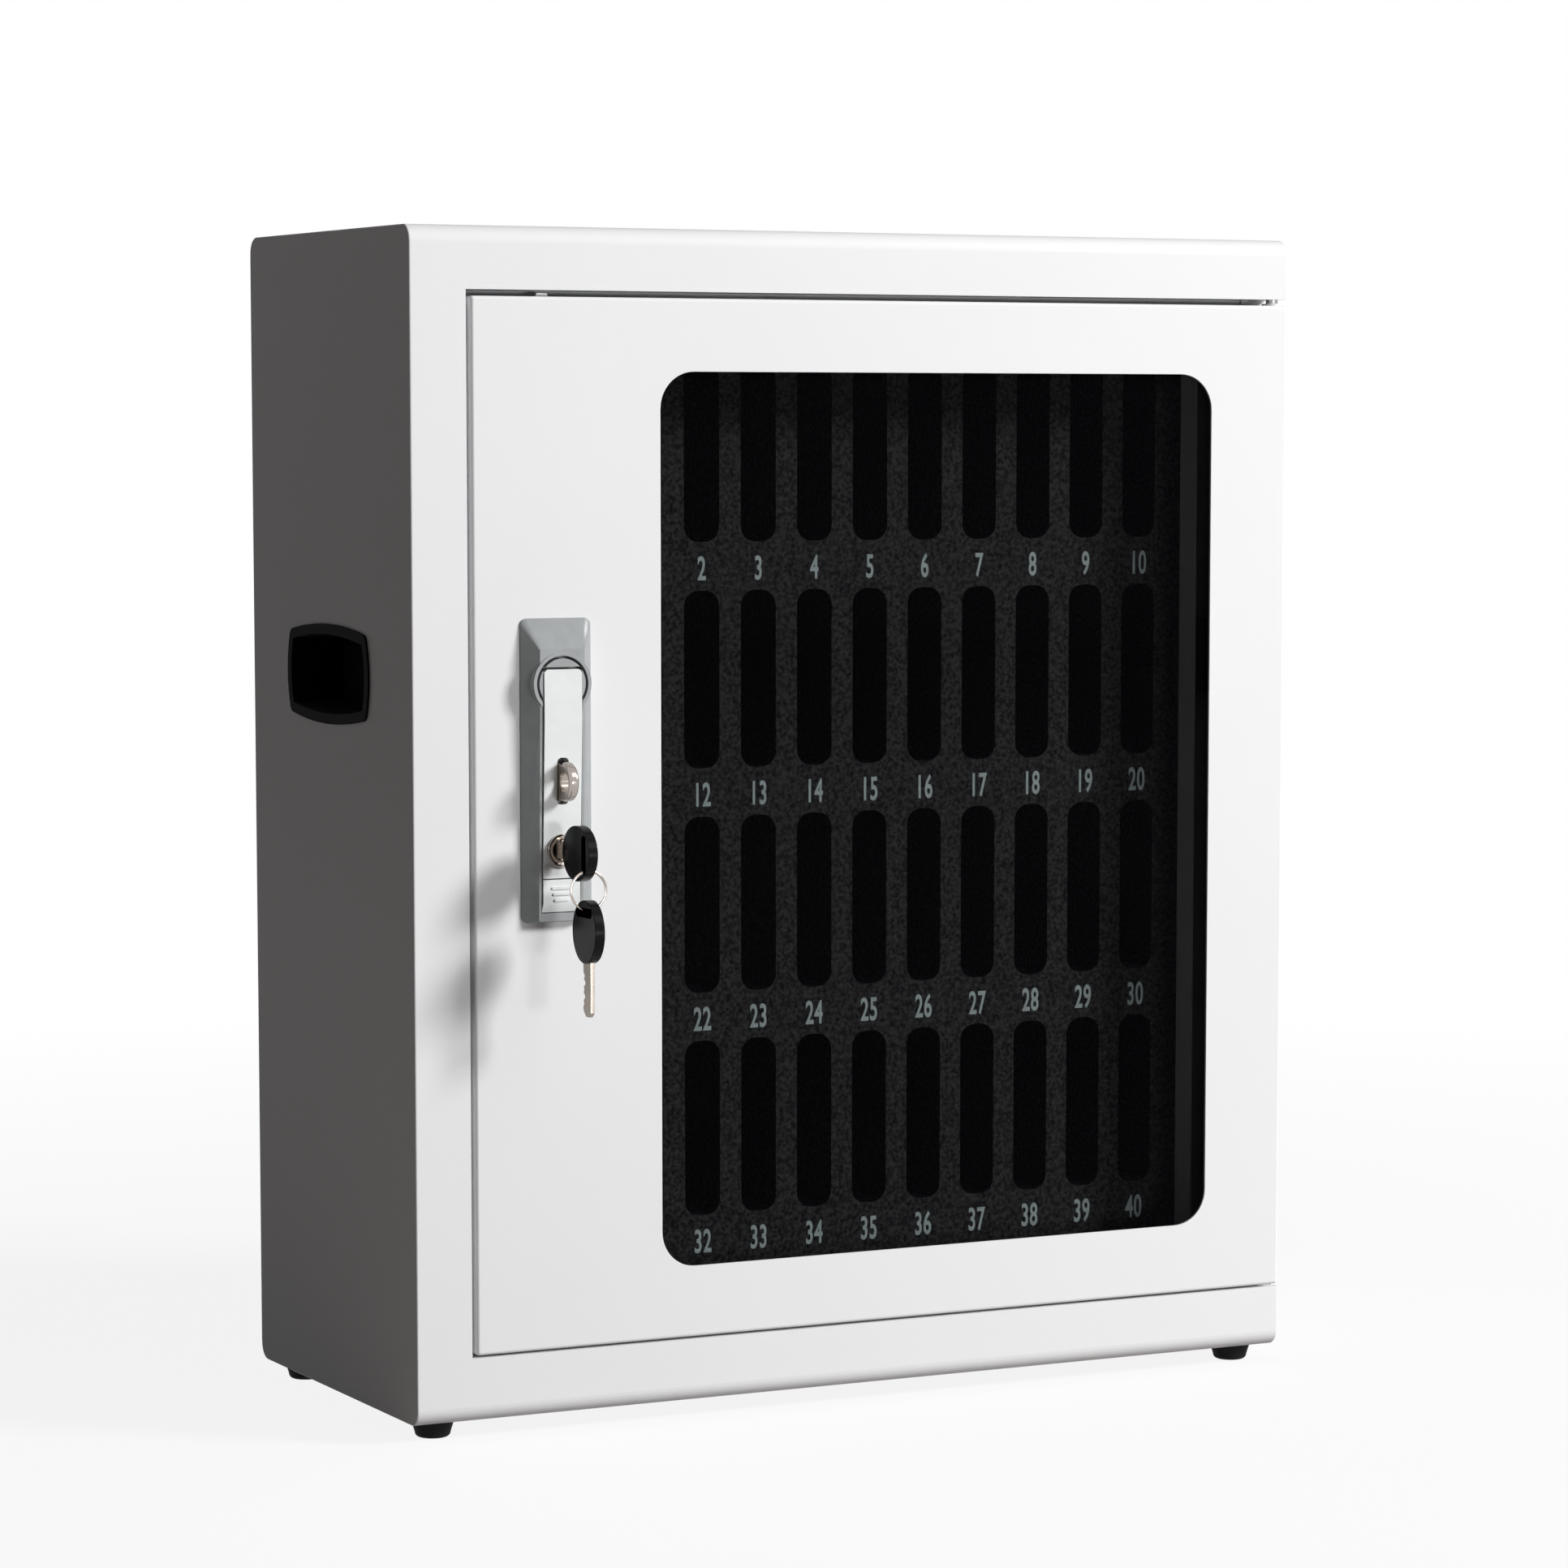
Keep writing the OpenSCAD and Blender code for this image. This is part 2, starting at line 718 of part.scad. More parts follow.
// ---- Keys, drawn with their tip at the origin and their blade along +X ----

// Where a line from p touches the circle about c, on its upper side
function tangent_point(c, r, p) =
  let (d = norm(p - c), a = atan2(p[1] - c[1], p[0] - c[0]) + acos(r / d))
  c + r * [cos(a), sin(a)];

module bow_outline(inset) {
  shoulder = [bow_length - inset, 6 - inset];
  touch = tangent_point([bow_r, 0], bow_r - inset, shoulder);
  difference() {
    union() {
      translate([bow_r, 0]) circle(bow_r - inset);
      polygon([[bow_r, 0], touch, shoulder, [shoulder[0], -shoulder[1]], [touch[0], -touch[1]]]);
    }
    translate([key_slot_from_tip, 0])
      rounded(2 * (key_slot_r + inset), 2 * (key_slot_half + key_slot_r + inset), key_slot_r + inset - 0.01);
  }
}
module bow_solid() {
  core = bow_t - 1.6;
  difference() {
    union() {
      translate([0, 0, -core / 2]) linear_extrude(core) bow_outline(0);
      translate([0, 0, -bow_t / 2]) linear_extrude(bow_t) bow_outline(0.6);
    }
    translate([bow_length - 6, -blade_w / 2, -blade_t / 2]) cube([10, blade_w, blade_t]);
  }
}

// The blade is cut along one edge for the wafers
module blade_solid() {
  cuts = [1.4, 2.2, 1, 1.8, 0.8];
  first = 6;
  pitch = 3.2;
  half = blade_w / 2;
  end = bow_length + blade_l;
  translate([0, 0, -blade_t / 2]) linear_extrude(blade_t) difference() {
    polygon([
      [bow_length - 6, -half], [end - 2, -half], [end, -half + 2], [end, half - 3],
      [end - 3, half], [bow_length - 6, half]
    ]);
    for (i = [0 : len(cuts) - 1]) translate([bow_length + first + i * pitch, half])
      polygon([[-cuts[i] - 0.4, 0.01], [-0.4, -cuts[i]], [0.4, -cuts[i]], [cuts[i] + 0.4, 0.01]]);
  }
}

// The key in the lock stands straight out, its bow upright
module in_lock() {
  translate([lock_x, front_y - key_tip, foot_h + barrel_z]) rotate([90, 0, 90]) children();
}
// The spare hangs from the ring, its blade down
module on_ring() {
  translate([lock_x, front_y - ring_out, foot_h + spare_tip_z]) rotate([0, 90, 0]) children();
}
module key_bow() { color(black) in_lock() bow_solid(); }
module key_blade() { color(zinc) in_lock() blade_solid(); }
module spare_bow() { color(black) on_ring() bow_solid(); }
module spare_blade() { color(zinc) on_ring() blade_solid(); }

module key_ring() {
  color(chrome) translate([lock_x, front_y - ring_out, foot_h + ring_top_z - ring_r])
    rotate([90, 0, 0]) rotate_extrude() translate([ring_r, 0]) circle(wire_r, $fn = 24);
}

// ---- Rod drive ----

module cam_bearing() {
  color(zinc) translate([lock_x, front_y, foot_h + turret_z]) rotate([-90, 0, 0]) difference() {
    union() {
      cylinder(r = turret_recess_r - 0.1, h = disc_depth - 0.2);
      translate([0, 0, sheet + clamp_t]) cylinder(r = turret_recess_r + 2.5, h = 1.6);
    }
    translate([0, 0, -1]) cylinder(r = spindle_r + running_gap, h = disc_depth + 2);
  }
}
module cam_spindle() {
  color(zinc) translate([lock_x, front_y, foot_h + turret_z]) rotate([-90, 0, 0]) difference() {
    union() {
      translate([0, 0, -turret_floor + 0.1]) cylinder(r = spindle_r, h = turret_floor + disc_depth - 0.1);
      translate([-3.5, -3.5, 0]) cube([7, 7, disc_depth + disc_t]);
    }
    translate([0, 0, disc_depth]) cylinder(r = 1.9, h = disc_t + 1);
  }
}
module cam_screw() {
  color(zinc) translate([lock_x, front_y, foot_h + turret_z]) rotate([-90, 0, 0]) {
    translate([0, 0, disc_depth]) cylinder(r = 1.9, h = disc_t + 0.5);
    translate([0, 0, disc_depth + disc_t]) cylinder(r = 4.5, h = 2);
  }
}

// A spiral slot: a quarter turn of the disc takes the stud out by the rods' travel.
// Each wall is the spiral moved along its own normal, so the slot is equally wide all along.
spiral_rate = rod_travel / 90;
function spiral_r(a) = stud_start + spiral_rate * a;
function spiral_wall(a, off) =
  let (
    r = spiral_r(a),
    rate = spiral_rate * 180 / PI,
    out = [-sin(a), cos(a)],
    along = [-cos(a), -sin(a)],
    normal = (r * out - rate * along) / norm([r, rate])
  )
  r * out + off * normal;
module spiral_slot() {
  spare = 3;
  polygon(concat(
    [for (a = [-spare : 3 : 90 + spare]) spiral_wall(a, slot_half)],
    [for (a = [90 + spare : -3 : -spare]) spiral_wall(a, -slot_half)]
  ));
  for (a = [-spare, 90 + spare])
    translate(spiral_wall(a, 0)) circle(slot_half);
}
module cam_disc() {
  color(zinc) translate([lock_x, 0, 0]) along_depth([disc_depth, disc_depth + disc_t])
    translate([0, turret_z]) difference() {
      circle(disc_r, $fn = 128);
      square(7, center = true);
      for (turn = [0, 180]) rotate(turn) spiral_slot();
    }
}

// A flat rod with a round end at its stud and a bevelled tip
module rod(stud_z, tip_z) {
  length = abs(tip_z - stud_z);
  half = rod_half_w;
  color(zinc) translate([lock_x, 0, 0]) along_depth([rod_depth, rod_depth + rod_t])
    translate([0, stud_z]) rotate(tip_z > stud_z ? 0 : 180) difference() {
      union() {
        circle(half);
        polygon([
          [-half, 0], [half, 0], [half, length - 5], [half - 3, length],
          [3 - half, length], [-half, length - 5]
        ]);
      }
      circle(stud_r);
    }
}
module stud(z) {
  color(zinc) translate([lock_x, front_y, foot_h + z]) rotate([-90, 0, 0]) {
    translate([0, 0, disc_depth + 0.3]) cylinder(r = stud_r, h = rod_depth + rod_t - disc_depth);
    translate([0, 0, rod_depth + rod_t]) cylinder(r = 3.5, h = 1);
  }
}
upper_stud_z = turret_z + stud_start;
lower_stud_z = turret_z - stud_start;
module upper_rod() { rod(upper_stud_z, door_high + rod_show); }
module upper_stud() { stud(upper_stud_z); }
module lower_rod() { rod(lower_stud_z, door_low - bottom_gap / 2); }
module lower_stud() { stud(lower_stud_z); }

shell_wrap();
side_left();
side_right();
hand_cup_left();
hand_cup_right();
rack_wall_left();
rack_wall_right();
rack_face();
rack_shelves();
rack_dividers();
feet();
foot_screws();
hinge_pins();
door_pan();
window_pane();
pane_gasket();
pane_clips();
clip_screws();
pivot_blocks();
rod_guides();
lock_housing();
lock_turret();
padlock_staple();
handle_pin();
lock_clamp();
lock_screws();
cam_bearing();
handle();
lock_barrel();
push_button();
key_plug();
key_blade();
key_bow();
key_ring();
spare_blade();
spare_bow();
cam_spindle();
cam_disc();
cam_screw();
upper_rod();
upper_stud();
lower_rod();
lower_stud();
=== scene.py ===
# %% [markdown]
# # The looks of a cell phone locker box
#
# The box is a small steel cabinet for a classroom wall or table. A window door shows a rack with
# numbered slots, and a lift handle lock with a key holds the door shut. The CAD model already has
# every part at its place, so this lesson dresses it: it sets up the studio, gives each part its
# finish, softens the edges that catch the light, and adds the numbers, the oval bows of the keys
# and the split ring.

# %% Load the frame
import json
import math

import bpy
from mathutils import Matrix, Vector


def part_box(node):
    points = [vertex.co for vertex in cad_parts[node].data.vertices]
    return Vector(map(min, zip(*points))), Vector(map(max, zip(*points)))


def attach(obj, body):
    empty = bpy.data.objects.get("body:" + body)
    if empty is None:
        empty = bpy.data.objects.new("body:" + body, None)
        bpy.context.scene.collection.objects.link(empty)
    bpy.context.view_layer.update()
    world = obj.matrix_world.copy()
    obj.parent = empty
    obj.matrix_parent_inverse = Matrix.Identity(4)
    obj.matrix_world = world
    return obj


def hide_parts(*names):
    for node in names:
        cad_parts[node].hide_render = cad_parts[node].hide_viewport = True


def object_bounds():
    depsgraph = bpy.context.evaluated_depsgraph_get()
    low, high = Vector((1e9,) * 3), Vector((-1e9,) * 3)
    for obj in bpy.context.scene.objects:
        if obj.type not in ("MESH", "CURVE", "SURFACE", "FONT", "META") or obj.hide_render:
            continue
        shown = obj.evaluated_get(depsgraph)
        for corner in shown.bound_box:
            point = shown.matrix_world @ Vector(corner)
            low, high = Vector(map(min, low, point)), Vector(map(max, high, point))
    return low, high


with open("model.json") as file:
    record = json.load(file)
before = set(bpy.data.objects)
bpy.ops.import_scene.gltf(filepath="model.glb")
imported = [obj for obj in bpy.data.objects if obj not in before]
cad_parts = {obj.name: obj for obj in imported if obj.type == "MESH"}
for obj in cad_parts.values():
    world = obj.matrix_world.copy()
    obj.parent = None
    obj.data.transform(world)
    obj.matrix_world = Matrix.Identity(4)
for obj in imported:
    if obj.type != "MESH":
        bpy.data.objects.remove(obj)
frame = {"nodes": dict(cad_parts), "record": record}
cad_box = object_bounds()
nodes = frame["nodes"]
bodies = frame["record"]["behaviour"]["bodies"]
body_with = {name: body for body, names in bodies.items() for name in names}
print("parts:", len(nodes), "box:", [tuple(round(v, 4) for v in corner) for corner in cad_box])

# %% [markdown]
# ## The camera
#
# The photograph looks at the box from its left, a little downwards. The place, angles and lens
# below come from fitting a camera to the straight edges of the cabinet. A small vertical shift
# keeps the upright edges nearly parallel, as the photograph shows them.

# %% Make the camera
camera_place = Vector((-1.12304, -2.21027, 0.47630))
camera_turn, camera_tilt = math.radians(26.809), math.radians(5.894)
focal_px, picture_px, sensor_mm = 6147.9, 1932, 36
upward_shift = 0.1
nearest, furthest = 0.05, 60

camera_data = bpy.data.cameras.new("studio_camera")
camera = bpy.data.objects.new("studio_camera", camera_data)
bpy.context.scene.collection.objects.link(camera)
bpy.context.scene.camera = camera
camera_data.sensor_width = sensor_mm
camera_data.lens = sensor_mm * focal_px / picture_px
camera_data.shift_y = upward_shift
camera_data.clip_start, camera_data.clip_end = nearest, furthest
camera.location = camera_place
camera.rotation_euler = (math.pi / 2 - camera_tilt, 0, -camera_turn)
print("lens:", round(camera_data.lens, 1), "mm")

# %% [markdown]
# ## The light
#
# One big soft lamp to the front right makes the door bright, leaves the left side in shade, and
# throws the soft shadows of lock and keys to the left. It stands far off, so that the light hardly
# fades from the right edge to the left. A low, wide lamp lifts the lower door, and a weak one
# above fills the shadows. Each lamp is turned to face the box with a direction vector.

# %% Place the lamps
bpy.context.scene.view_settings.view_transform = "Standard"
box_middle = (cad_box[0] + cad_box[1]) / 2


def soft_lamp(name, azimuth, elevation, distance, width, height, power):
    """A soft lamp that faces the middle of the box. Azimuth 0 is straight in front."""
    a, e = math.radians(azimuth), math.radians(elevation)
    away = Vector((math.sin(a) * math.cos(e), -math.cos(a) * math.cos(e), math.sin(e)))
    data = bpy.data.lights.new(name, "AREA")
    data.shape, data.size, data.size_y, data.energy = "RECTANGLE", width, height, power
    lamp = bpy.data.objects.new(name, data)
    bpy.context.scene.collection.objects.link(lamp)
    lamp.location = box_middle + away * distance
    lamp.rotation_euler = away.to_track_quat("Z", "Y").to_euler()


soft_lamp("key_lamp", azimuth=48, elevation=26, distance=4.6, width=1.06, height=1.06, power=226)
soft_lamp("low_lamp", azimuth=10, elevation=-2, distance=3.0, width=0.8, height=0.32, power=23)
soft_lamp("fill_lamp", azimuth=22, elevation=40, distance=3.0, width=1.2, height=1.2, power=8)

# %% [markdown]
# ## The background
#
# The box stands against white. A white world would light it far too brightly, so the world is dim
# for the light that it sheds and white for what the eye, gloss and glass see. Light Path tells
# these rays apart, and a Mix Shader chooses.

# %% Tell the seen rays from the light
def seen_directly(tree):
    """1 for rays from the eye, from gloss and through glass; 0 for rays that carry light."""
    path = tree.nodes.new("ShaderNodeLightPath")
    total = path.outputs["Is Camera Ray"]
    for ray in ("Is Glossy Ray", "Is Transmission Ray"):
        bigger = tree.nodes.new("ShaderNodeMath")
        bigger.operation = "MAXIMUM"
        tree.links.new(total, bigger.inputs[0])
        tree.links.new(path.outputs[ray], bigger.inputs[1])
        total = bigger.outputs[0]
    return total


def choose(tree, share, otherwise, chosen, output):
    """Shows one shader for a share of 1, and the other for a share of 0."""
    either = tree.nodes.new("ShaderNodeMixShader")
    tree.links.new(share, either.inputs["Fac"])
    tree.links.new(otherwise, either.inputs[1])
    tree.links.new(chosen, either.inputs[2])
    tree.links.new(either.outputs[0], tree.nodes[output].inputs["Surface"])


print("ray helpers ready")

# %% Make the world
dim_colour, dim_strength = (1.0, 0.89, 0.86, 1), 0.029
world = bpy.data.worlds.new("studio_world")
bpy.context.scene.world = world
world.use_nodes = True
tree = world.node_tree
dim = tree.nodes["Background"]
dim.inputs["Color"].default_value = dim_colour
dim.inputs["Strength"].default_value = dim_strength
white = tree.nodes.new("ShaderNodeBackground")
white.inputs["Color"].default_value = (1, 1, 1, 1)
choose(tree, seen_directly(tree), dim.outputs[0], white.outputs[0], "World Output")
print("world sheds a strength of", dim_strength)

# %% [markdown]
# ## The floor
#
# The floor is a wide disc just under the feet. Near the box it keeps a part of plain diffuse
# colour, so that it still shows the shadow of the box, and further off it turns into the white
# background. It is pale to the eye and darker for the light that bounces off it, because light
# from a white floor would wash out the shaded left side.

# %% Lay the floor
floor_radius, under_feet = 9, 0.0004
bpy.ops.mesh.primitive_circle_add(vertices=96, radius=floor_radius, fill_type="NGON",
                                  location=(0, 0, -under_feet))
floor = bpy.context.object
floor.name = "studio_floor"
print("floor radius:", floor_radius, "m")

# %% Paint the floor
floor_paint = bpy.data.materials.new("floor_paint")
floor_paint.use_nodes = True
tree = floor_paint.node_tree
matt = tree.nodes["Principled BSDF"]
matt.inputs["Roughness"].default_value = 1
matt.inputs["Specular IOR Level"].default_value = 0
seen = seen_directly(tree)
pale = tree.nodes.new("ShaderNodeMix")
pale.data_type = "RGBA"
pale.inputs["A"].default_value = (0.20, 0.175, 0.165, 1)
pale.inputs["B"].default_value = (0.9, 0.9, 0.9, 1)
tree.links.new(seen, pale.inputs["Factor"])
tree.links.new(pale.outputs["Result"], matt.inputs["Base Color"])
print("floor paint:", floor_paint.name)

# %% Let the floor turn white further off
shadow_reach, white_from = 0.5, 1.6
whiteness_near, whiteness_far = 0.88, 1.0
place = tree.nodes.new("ShaderNodeTexCoord")
away = tree.nodes.new("ShaderNodeVectorMath")
away.operation = "LENGTH"
tree.links.new(place.outputs["Object"], away.inputs[0])
whiteness = tree.nodes.new("ShaderNodeMapRange")
whiteness.inputs["From Min"].default_value = shadow_reach
whiteness.inputs["From Max"].default_value = white_from
whiteness.inputs["To Min"].default_value = whiteness_near
whiteness.inputs["To Max"].default_value = whiteness_far
tree.links.new(away.outputs["Value"], whiteness.inputs["Value"])
share = tree.nodes.new("ShaderNodeMath")
share.operation = "MULTIPLY"
tree.links.new(seen, share.inputs[0])
tree.links.new(whiteness.outputs["Result"], share.inputs[1])
glow = tree.nodes.new("ShaderNodeEmission")
choose(tree, share.outputs[0], matt.outputs[0], glow.outputs[0], "Material Output")
floor.data.materials.append(floor_paint)
print("floor is white from", white_from, "m")

# %% [markdown]
# ## How a finish is built
#
# Every finish is a Principled shader whose colour, roughness and relief come from noise on
# Object coordinates. Each part's object sits at the origin, so a pattern has its true size in
# metres: a scale of 1000 gives grains of about a millimetre. Values that are the same all over are
# set on the shader itself. The noise comes in two sizes: wide patches shift the colour a little,
# and fine grains make the surface uneven to the light.

# %% Lay patches of a second colour
ramp_from, ramp_to = 0.35, 0.65


def lay_patches(tree, mapping, shader, colour, second, patch):
    """Noise of a wide scale mixes two colours."""
    patches = tree.nodes.new("ShaderNodeTexNoise")
    patches.inputs["Scale"].default_value = patch
    patches.inputs["Detail"].default_value = 5
    tree.links.new(mapping.outputs[0], patches.inputs["Vector"])
    colours = tree.nodes.new("ShaderNodeValToRGB")
    darker, lighter = colours.color_ramp.elements
    darker.position, lighter.position = ramp_from, ramp_to
    darker.color, lighter.color = (*second, 1), (*colour, 1)
    tree.links.new(patches.outputs["Fac"], colours.inputs["Fac"])
    tree.links.new(colours.outputs["Color"], shader.inputs["Base Color"])


print("patch helper ready")

# %% Lay the grain
smoothest = 0.02


def lay_grain(tree, mapping, shader, grain, roughness, rough_spread, relief, depth):
    """Noise of a fine scale spreads the roughness and raises a small relief."""
    grains = tree.nodes.new("ShaderNodeTexNoise")
    grains.inputs["Scale"].default_value = grain
    grains.inputs["Detail"].default_value = 3
    tree.links.new(mapping.outputs[0], grains.inputs["Vector"])
    spread = tree.nodes.new("ShaderNodeMapRange")
    spread.inputs["To Min"].default_value = max(smoothest, roughness - rough_spread)
    spread.inputs["To Max"].default_value = min(1.0, roughness + rough_spread)
    tree.links.new(grains.outputs["Fac"], spread.inputs["Value"])
    tree.links.new(spread.outputs["Result"], shader.inputs["Roughness"])
    bump = tree.nodes.new("ShaderNodeBump")
    bump.inputs["Strength"].default_value = relief
    bump.inputs["Distance"].default_value = depth
    tree.links.new(grains.outputs["Fac"], bump.inputs["Height"])
    tree.links.new(bump.outputs["Normal"], shader.inputs["Normal"])


print("grain helper ready")

# %% Build one finish
def finish(name, colour, roughness, second, patch, grain, relief, depth=0.0001, metallic=0.0,
           specular=0.5, rough_spread=0.06, stretch=(1, 1, 1)):
    """A material with patches of a second colour, a spread of roughness, and a fine relief."""
    material = bpy.data.materials.new(name)
    material.use_nodes = True
    tree = material.node_tree
    shader = tree.nodes["Principled BSDF"]
    shader.inputs["Metallic"].default_value = metallic
    shader.inputs["Specular IOR Level"].default_value = specular
    place = tree.nodes.new("ShaderNodeTexCoord")
    mapping = tree.nodes.new("ShaderNodeMapping")
    mapping.inputs["Scale"].default_value = stretch
    tree.links.new(place.outputs["Object"], mapping.inputs["Vector"])
    lay_patches(tree, mapping, shader, colour, second, patch)
    lay_grain(tree, mapping, shader, grain, roughness, rough_spread, relief, depth)
    return material


finishes = {}
print("finish helper ready")

# %% [markdown]
# ## Powder coats
#
# The cabinet and the door have a satin white powder coat. Powder melts into a skin with a faint
# orange peel, so the relief is low and its grains are over a millimetre wide. The rack has a
# coarse dark coat: grey specks on black, with a strong relief. Its gloss is almost nil, because a
# rough gloss would mirror the white world and turn the rack grey.

# %% Mix the powder coats
finishes["paint"] = finish(
    "white_powder_coat", (0.80, 0.805, 0.815), 0.42, specular=0.09, second=(0.785, 0.79, 0.80),
    patch=6, grain=700, relief=0.10, depth=0.00012)
finishes["rack_paint"] = finish(
    "dark_textured_coat", (0.050, 0.051, 0.052), 0.68, specular=0.02,
    second=(0.008, 0.008, 0.009), patch=520, grain=1100, relief=0.45, depth=0.0003,
    rough_spread=0.12)
print("powder coats:", sorted(finishes))

# %% [markdown]
# ## Plastic and rubber
#
# The bows of the keys are glossy black. The hand cups are moulded in matt black, the feet and the
# seal round the window are rubber, and the guides behind the door are white nylon.

# %% Mix plastic and rubber
finishes["black_plastic"] = finish(
    "gloss_black_plastic", (0.004, 0.004, 0.004), 0.2, specular=0.10,
    second=(0.002, 0.002, 0.002), patch=40, grain=1500, relief=0.03, depth=0.00004,
    rough_spread=0.04)
finishes["black_rubber"] = finish(
    "black_rubber", (0.006, 0.006, 0.006), 0.72, specular=0.12, second=(0.010, 0.010, 0.010),
    patch=90, grain=2200, relief=0.2)
nylon, nylon_shade = (0.74, 0.73, 0.69), 0.94
finishes["white_nylon"] = finish(
    "white_nylon", nylon, 0.48, specular=0.3, second=tuple(c * nylon_shade for c in nylon),
    patch=50, grain=1600, relief=0.06)
cup_plastic = finish(
    "matt_black_plastic", (0.003, 0.003, 0.003), 0.6, specular=0.01,
    second=(0.005, 0.005, 0.005), patch=60, grain=1400, relief=0.25)
print("plastic and rubber:", len(finishes), "finishes so far")

# %% [markdown]
# ## The metals of lock and keys
#
# The lock is die cast and lacquered silver, one lacquer all over. Its base is given a mid grey,
# which is painted shade for its sloping sides. The handle and button are given a brighter copy of
# the lacquer, which is painted light, as they face the lamp. Lacquer isn't bare metal, so it has no
# metallic part. The eye, the barrel and the ring are chromed, and the fittings behind the door are
# zinc plated. The blades are nickel plated, with grain drawn out along Z, the way the blade of the
# spare key hangs.

# %% Mix the metals
# The base gets the lacquer darkened to a mid grey: painted shade for its sloping sides.
finishes["satin_silver"] = finish(
    "lacquer_silver_painted_shade", (0.31, 0.325, 0.33), 0.34, specular=0.30, second=(0.28, 0.295, 0.30),
    patch=120, grain=2600, relief=0.05, depth=0.00005, rough_spread=0.05)
# A brighter copy of the same lacquer for handle and button: painted light, as they face the lamp.
silver_painted_light = finish(
    "lacquer_silver_painted_light", (0.76, 0.785, 0.785), 0.36, specular=0.25,
    second=(0.73, 0.755, 0.755), patch=120, grain=2600, relief=0.05, depth=0.00005)
finishes["chrome"] = finish(
    "bright_chrome", (0.44, 0.395, 0.36), 0.12, metallic=1, second=(0.38, 0.34, 0.31),
    patch=160, grain=3000, relief=0.02, depth=0.00003, rough_spread=0.05)
finishes["zinc_plated"] = finish(
    "zinc_plate", (0.46, 0.47, 0.49), 0.33, metallic=1, second=(0.38, 0.38, 0.37), patch=110,
    grain=1800, relief=0.08, depth=0.00005, rough_spread=0.10)
finishes["nickel_steel"] = finish(
    "nickel_plate", (0.36, 0.32, 0.28), 0.28, metallic=1, second=(0.27, 0.235, 0.20),
    patch=200, grain=2400, relief=0.12, depth=0.00005, rough_spread=0.10, stretch=(1, 1, 0.2))
print("with metals:", sorted(finishes))

# %% [markdown]
# ## The window and the ink
#
# The window is smoked acrylic, so thin that light isn't bent in it. A black shader that covers
# only a part of what lies behind gives that tint, with far less noise than real refraction. The
# numbers are printed in a grey-green ink.

# %% Mix the window and the ink
smoke = 0.24
tinted = finish(
    "tinted_acrylic", (0.004, 0.004, 0.005), 0.05, specular=0.02, second=(0.003, 0.003, 0.004),
    patch=8, grain=30, relief=0.01, rough_spread=0.02)
tinted.node_tree.nodes["Principled BSDF"].inputs["Alpha"].default_value = smoke
tinted.surface_render_method = "BLENDED"
finishes["tinted_acrylic"] = tinted
ink = finish(
    "number_ink", (0.47, 0.56, 0.56), 0.55, specular=0.1, second=(0.38, 0.46, 0.46), patch=300,
    grain=2500, relief=0.05)
print("the window covers", smoke, "of what lies behind it")

# %% [markdown]
# ## Dressing the parts
#
# The record names a material slot for every part, and each slot has a finish of the same name.
# Two pairs of parts differ from their slot's finish: the matt hand cups, and the handle and button
# in a brighter copy of the silver lacquer, which is painted light.

# %% Give every part its finish
slot_of = {part["node"]: part["material_slot"] for part in frame["record"]["subparts"]}
# The handle and button take the copy of the silver lacquer with painted light.
own_finish = {"hand_cup_left": cup_plastic, "hand_cup_right": cup_plastic,
              "handle": silver_painted_light, "push_button": silver_painted_light}
for name, node in nodes.items():
    node.data.materials.clear()
    node.data.materials.append(own_finish.get(name) or finishes[slot_of[name]])
print("finishes:", sorted(finishes), "on", len(nodes), "parts")

# %% [markdown]
# ## Copies with soft edges
#
# Folded, painted and cast parts have no knife edges: a small round catches the light along each
# edge. A CAD mesh may not be changed, so a copy is made, its loose triangles are merged, and a
# Bevel modifier rounds the sharp edges. The copy then stands for the CAD part and moves with it.

# %% Copy a part as one skin
same_point, flat_angle = 0.000002, math.radians(0.4)


def select_only(*pieces):
    """Selects these pieces and makes the last one active."""
    bpy.ops.object.select_all(action="DESELECT")
    for piece in pieces:
        piece.select_set(True)
    bpy.context.view_layer.objects.active = pieces[-1]


def merged_copy(name, new_name):
    """A copy of a CAD part as one closed skin, with flat areas as single faces."""
    piece = bpy.data.objects.new(new_name, nodes[name].data.copy())
    bpy.context.scene.collection.objects.link(piece)
    select_only(piece)
    if piece.data.has_custom_normals:
        bpy.ops.mesh.customdata_custom_splitnormals_clear()
    bpy.ops.object.mode_set(mode="EDIT")
    bpy.ops.mesh.select_all(action="SELECT")
    bpy.ops.mesh.remove_doubles(threshold=same_point)
    bpy.ops.mesh.dissolve_limited(angle_limit=flat_angle)
    bpy.ops.object.mode_set(mode="OBJECT")
    return piece


print("copy helpers ready")

# %% Let a piece stand for a part
smooth_up_to, sharp_from = math.radians(32), math.radians(35)


def stand_for(piece, name):
    """The piece is shown in place of this CAD part and moves with its body."""
    select_only(piece)
    bpy.ops.object.shade_smooth_by_angle(angle=smooth_up_to)
    flat = piece.modifiers.new("flat_faces_stay_flat", "WEIGHTED_NORMAL")
    flat.keep_sharp = True
    bpy.ops.object.modifier_apply(modifier=flat.name)
    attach(piece, body_with[name])
    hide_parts(name)


def softened(name, width):
    """Stands a copy with rounded edges in for a CAD part."""
    piece = merged_copy(name, name + "_softened")
    bevel = piece.modifiers.new("soft_edges", "BEVEL")
    bevel.width, bevel.segments = width, 2
    bevel.limit_method, bevel.angle_limit = "ANGLE", sharp_from
    select_only(piece)
    bpy.ops.object.modifier_apply(modifier=bevel.name)
    stand_for(piece, name)
    return piece


print("stand-in helpers ready")

# %% [markdown]
# ## Lock and handle
#
# The lock's base, turret, handle and button are die cast and lacquered, so their edges are round by
# about a third of a millimetre. The blades of the keys are only broken at their edges.

